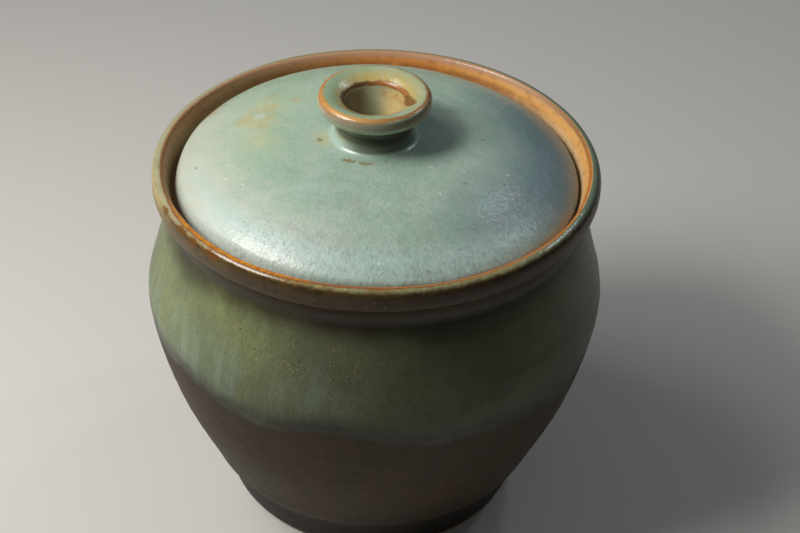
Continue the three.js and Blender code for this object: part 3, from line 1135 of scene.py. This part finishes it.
        # painted shade at the front of the waist, down to the foot
        waist_front_shade = self.both(self.rise(z, 131.5, 132.3), self.rise(z, 139.0, 136.0),
                           self.facing(292, 0.2, 0.8), self.rise(radius, 9.6, 10.4))
        return (
            (lip, KNOB_DEEP, 0.6),
            # painted shade on the waist, under the lip
            (waist, WAIST_SHADE_GREEN, 0.85),
            (shade, LIP_SHADE, 0.6),
            (foot, celadon(self)),
            # painted shade at the front of the waist
            (waist_front_shade, FRONT_SHADE_GREEN, 0.70),
        )

    def fired(self):
        base = self.coats(KNOB_CELADON, (self.patches(5.0, 0.35, 0.65, CLOUDY, 61), CELADON, 0.6),
                          *self.dish_coats(), *self.crest_coats(), *self.mouth_coats(),
                          *self.hollow_coats(), *self.side_coats())
        rough = self.level(0.24, self.patches(4.0, 0.35, 0.7, ROUGH, 68), 0.34)
        skin = self.relief(self.noise(self.place, 1.5, EVEN, 69), 0.07)
        skin = self.relief(self.noise(self.place, 0.5, CRUMBLY, 70), 0.02, skin)
        return self.fire(base, rough, skin, coat=0.3)


# The three pieces

def jar():
    piece = throw("glazed_jar", "jar_body", (STANDING_HEIGHT, SEAT_HEIGHT), highest,
                  rounding=0.35 * MM, step=1.4 * MM, finest=0.45 * MM, steps_round=264, axis=0.0,
                  throwing_pitch=5.5 * MM, throwing_depth=0.04 * MM, waver_size=40 * MM,
                  waver_depth=0.35 * MM, out_of_round=0.15 * MM, seed=1.0, glaze=JarGlaze().fired())
    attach(piece, "jar")
    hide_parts("jar_body")
    return piece


# The lid's upper side is a little warped, and lies a little to the right. The seat stays level.
LID_EDGE_LIFT = np.array([-1.6, -0.8, 0.7, 1.2, 1.8, 2.9, 1.9, -0.7]) * MM  # at each eighth of a turn from +X
LID_EDGE_AT = 62 * MM
LID_SHIFT = np.array([0.75, -0.35]) * MM
LEAN_HEIGHTS = (SEAT_HEIGHT + 0.8 * MM, SEAT_HEIGHT + 2.6 * MM)
LEAN_RADII = (16 * MM, 48 * MM)


def lid():
    piece = throw("glazed_lid", "lid", (SEAT_HEIGHT, CROWN_HEIGHT), seat_edge,
                  rounding=0.4 * MM, step=1.1 * MM, finest=0.4 * MM, steps_round=264, axis=0.0,
                  throwing_pitch=6.0 * MM, throwing_depth=0.02 * MM, waver_size=34 * MM,
                  waver_depth=0.3 * MM, out_of_round=0.0, seed=2.0, glaze=LidGlaze().fired())

    def lean(x, y, z):
        share = eased(z, *LEAN_HEIGHTS) * eased(np.hypot(x, y), *LEAN_RADII)
        mean, *waves = np.fft.rfft(LID_EDGE_LIFT)[:4] / len(LID_EDGE_LIFT)
        turn = np.exp(1j * np.arctan2(y, x))
        lift = mean.real + sum(2 * (wave * turn ** n).real for n, wave in enumerate(waves, 1))
        return LID_SHIFT[0] * share, LID_SHIFT[1] * share, lift * share * np.hypot(x, y) / LID_EDGE_AT

    pushed(piece, lean)
    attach(piece, "lid")
    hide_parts("lid")
    return piece


# The knob's fillet and lip edge seen from the side, as (radius, height above the crown)
KNOB_FILLET = np.array([(15.2, 0.0), (14.3, 0.06), (13.6, 0.24), (13.15, 0.62),
                        (12.8, 1.2), (12.4, 2.0), (11.95, 3.1), (11.5, 4.2)]) * MM
KNOB_LIP_EDGE = np.array([(13.9, 9.30), (16.5, 9.85), (17.3, 10.70)]) * MM
FLARE_FROM = 4.8 * MM
UNDER_LIP = 8.4 * MM
FOOT_SINK = 0.10 * MM
FOOT_BED_HEIGHT = 0.6 * MM
FOOT_BED_RADII = (12 * MM, 15 * MM)
NICK_DEPTH = 0.6 * MM
NICK_HEIGHTS = (CROWN_HEIGHT + 9 * MM, CROWN_HEIGHT + 11 * MM)


def finished_knob(points):
    """The knob's outline with a fillet of glaze at its foot, and its lip turned down to a thick edge."""
    foot = int(np.argmax((np.abs(points[:, 1] - CROWN_HEIGHT) < SAME_SPOT * SLACK) * points[:, 0]))
    widest = int(np.argmax(points[:, 0]))
    flare = points[foot:widest]
    flare = flare[(flare[:, 1] > CROWN_HEIGHT + FLARE_FROM) & (flare[:, 1] < CROWN_HEIGHT + UNDER_LIP)]
    crown = np.array([0.0, CROWN_HEIGHT])
    return np.vstack([points[:foot], KNOB_FILLET + crown, flare, KNOB_LIP_EDGE + crown, points[widest:]])


def knob():
    piece = throw("glazed_knob", "lid_knob", (CROWN_HEIGHT,), highest, reshape=finished_knob,
                  rounding=0.22 * MM, step=0.55 * MM, finest=0.2 * MM, steps_round=176, axis=KNOB_AXIS,
                  throwing_pitch=3.0 * MM, throwing_depth=0.02 * MM, waver_size=12 * MM,
                  waver_depth=0.25 * MM, out_of_round=0.1 * MM, seed=3.0, glaze=KnobGlaze().fired())

    def bedded(x, y, z):
        """The thin edge of the fillet sinks into the lid's glaze, and the mouth has a nick in its edge."""
        x = x - KNOB_AXIS
        low = eased(z, CROWN_HEIGHT + FOOT_BED_HEIGHT, CROWN_HEIGHT) * eased(np.hypot(x, y), *FOOT_BED_RADII)
        nick = 0 * x
        for nick_x, nick_y, size in KNOB_NICK:
            away = np.hypot(x - nick_x * MM, y - nick_y * MM)
            nick = np.maximum(nick, eased(away, (size + 0.5) * MM, 0.3 * size * MM))
        nick *= eased(z, *NICK_HEIGHTS)
        return 0 * x, 0 * y, -FOOT_SINK * low - NICK_DEPTH * nick

    pushed(piece, bedded)
    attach(piece, "lid")
    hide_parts("lid_knob")
    return piece


# Studio

def soft_light(name, direction, distance, size, power, tint):
    data = bpy.data.lights.new(name, "AREA")
    data.shape = "SQUARE"
    data.size = size
    data.energy = power
    data.color = tint
    light = placed(name, data)
    light.location = LIGHT_AIM + Vector(direction).normalized() * distance
    light.rotation_euler = (LIGHT_AIM - light.location).to_track_quat("-Z", "Y").to_euler()


def studio():
    for light in LIGHTS:
        soft_light(*light)
    world = bpy.data.worlds.new("studio")
    world.use_nodes = True
    sky = world.node_tree.nodes["Background"].inputs
    sky["Color"].default_value = (1.0, 1.0, 1.0, 1.0)
    sky["Strength"].default_value = WORLD_STRENGTH
    bpy.context.scene.world = world

    mesh = bpy.data.meshes.new("floor")
    corners = [(-FLOOR_HALF, -FLOOR_HALF, 0), (FLOOR_HALF, -FLOOR_HALF, 0),
               (FLOOR_HALF, FLOOR_HALF, 0), (-FLOOR_HALF, FLOOR_HALF, 0)]
    mesh.from_pydata(corners, [], [(0, 1, 2, 3)])
    floor = placed("floor", mesh)
    paper = bpy.data.materials.new("pale paper")
    paper.use_nodes = True
    shader = paper.node_tree.nodes["Principled BSDF"]
    shader.inputs["Roughness"].default_value = FLOOR_ROUGHNESS

    # Pale to the camera and in reflections, but it throws little light up under the jar
    sheet = Nodes(paper.node_tree)
    ray = sheet.node("ShaderNodeLightPath").outputs
    seen = sheet.calc("MAXIMUM", ray["Is Glossy Ray"], ray["Is Transmission Ray"])
    seen = sheet.calc("MAXIMUM", ray["Is Camera Ray"], seen)
    tone = sheet.node("ShaderNodeMix", {0: seen, 6: FLOOR_BOUNCE, 7: FLOOR_PALE}, data_type="RGBA").outputs[2]
    sheet.feed(shader.inputs["Base Color"], tone)
    mesh.materials.append(paper)


def camera():
    forward = Vector((math.sin(CAMERA_TURN) * math.cos(CAMERA_DIP),
                      math.cos(CAMERA_TURN) * math.cos(CAMERA_DIP),
                      -math.sin(CAMERA_DIP)))
    level = forward.cross(Vector((0, 0, 1))).normalized()
    upright = level.cross(forward)
    right = math.cos(CAMERA_ROLL) * level + math.sin(CAMERA_ROLL) * upright
    up = math.cos(CAMERA_ROLL) * upright - math.sin(CAMERA_ROLL) * level
    data = bpy.data.cameras.new("camera")
    data.lens = LENS
    data.sensor_width = SENSOR_WIDTH
    made = placed("camera", data)
    pose = Matrix((right, up, -forward)).transposed().to_4x4()
    pose.translation = CAMERA_PLACE
    made.matrix_world = pose
    bpy.context.scene.camera = made


camera()
studio()
jar()
lid()
knob()

bpy.context.scene.view_settings.view_transform = "Standard"
bpy.context.view_layer.update()
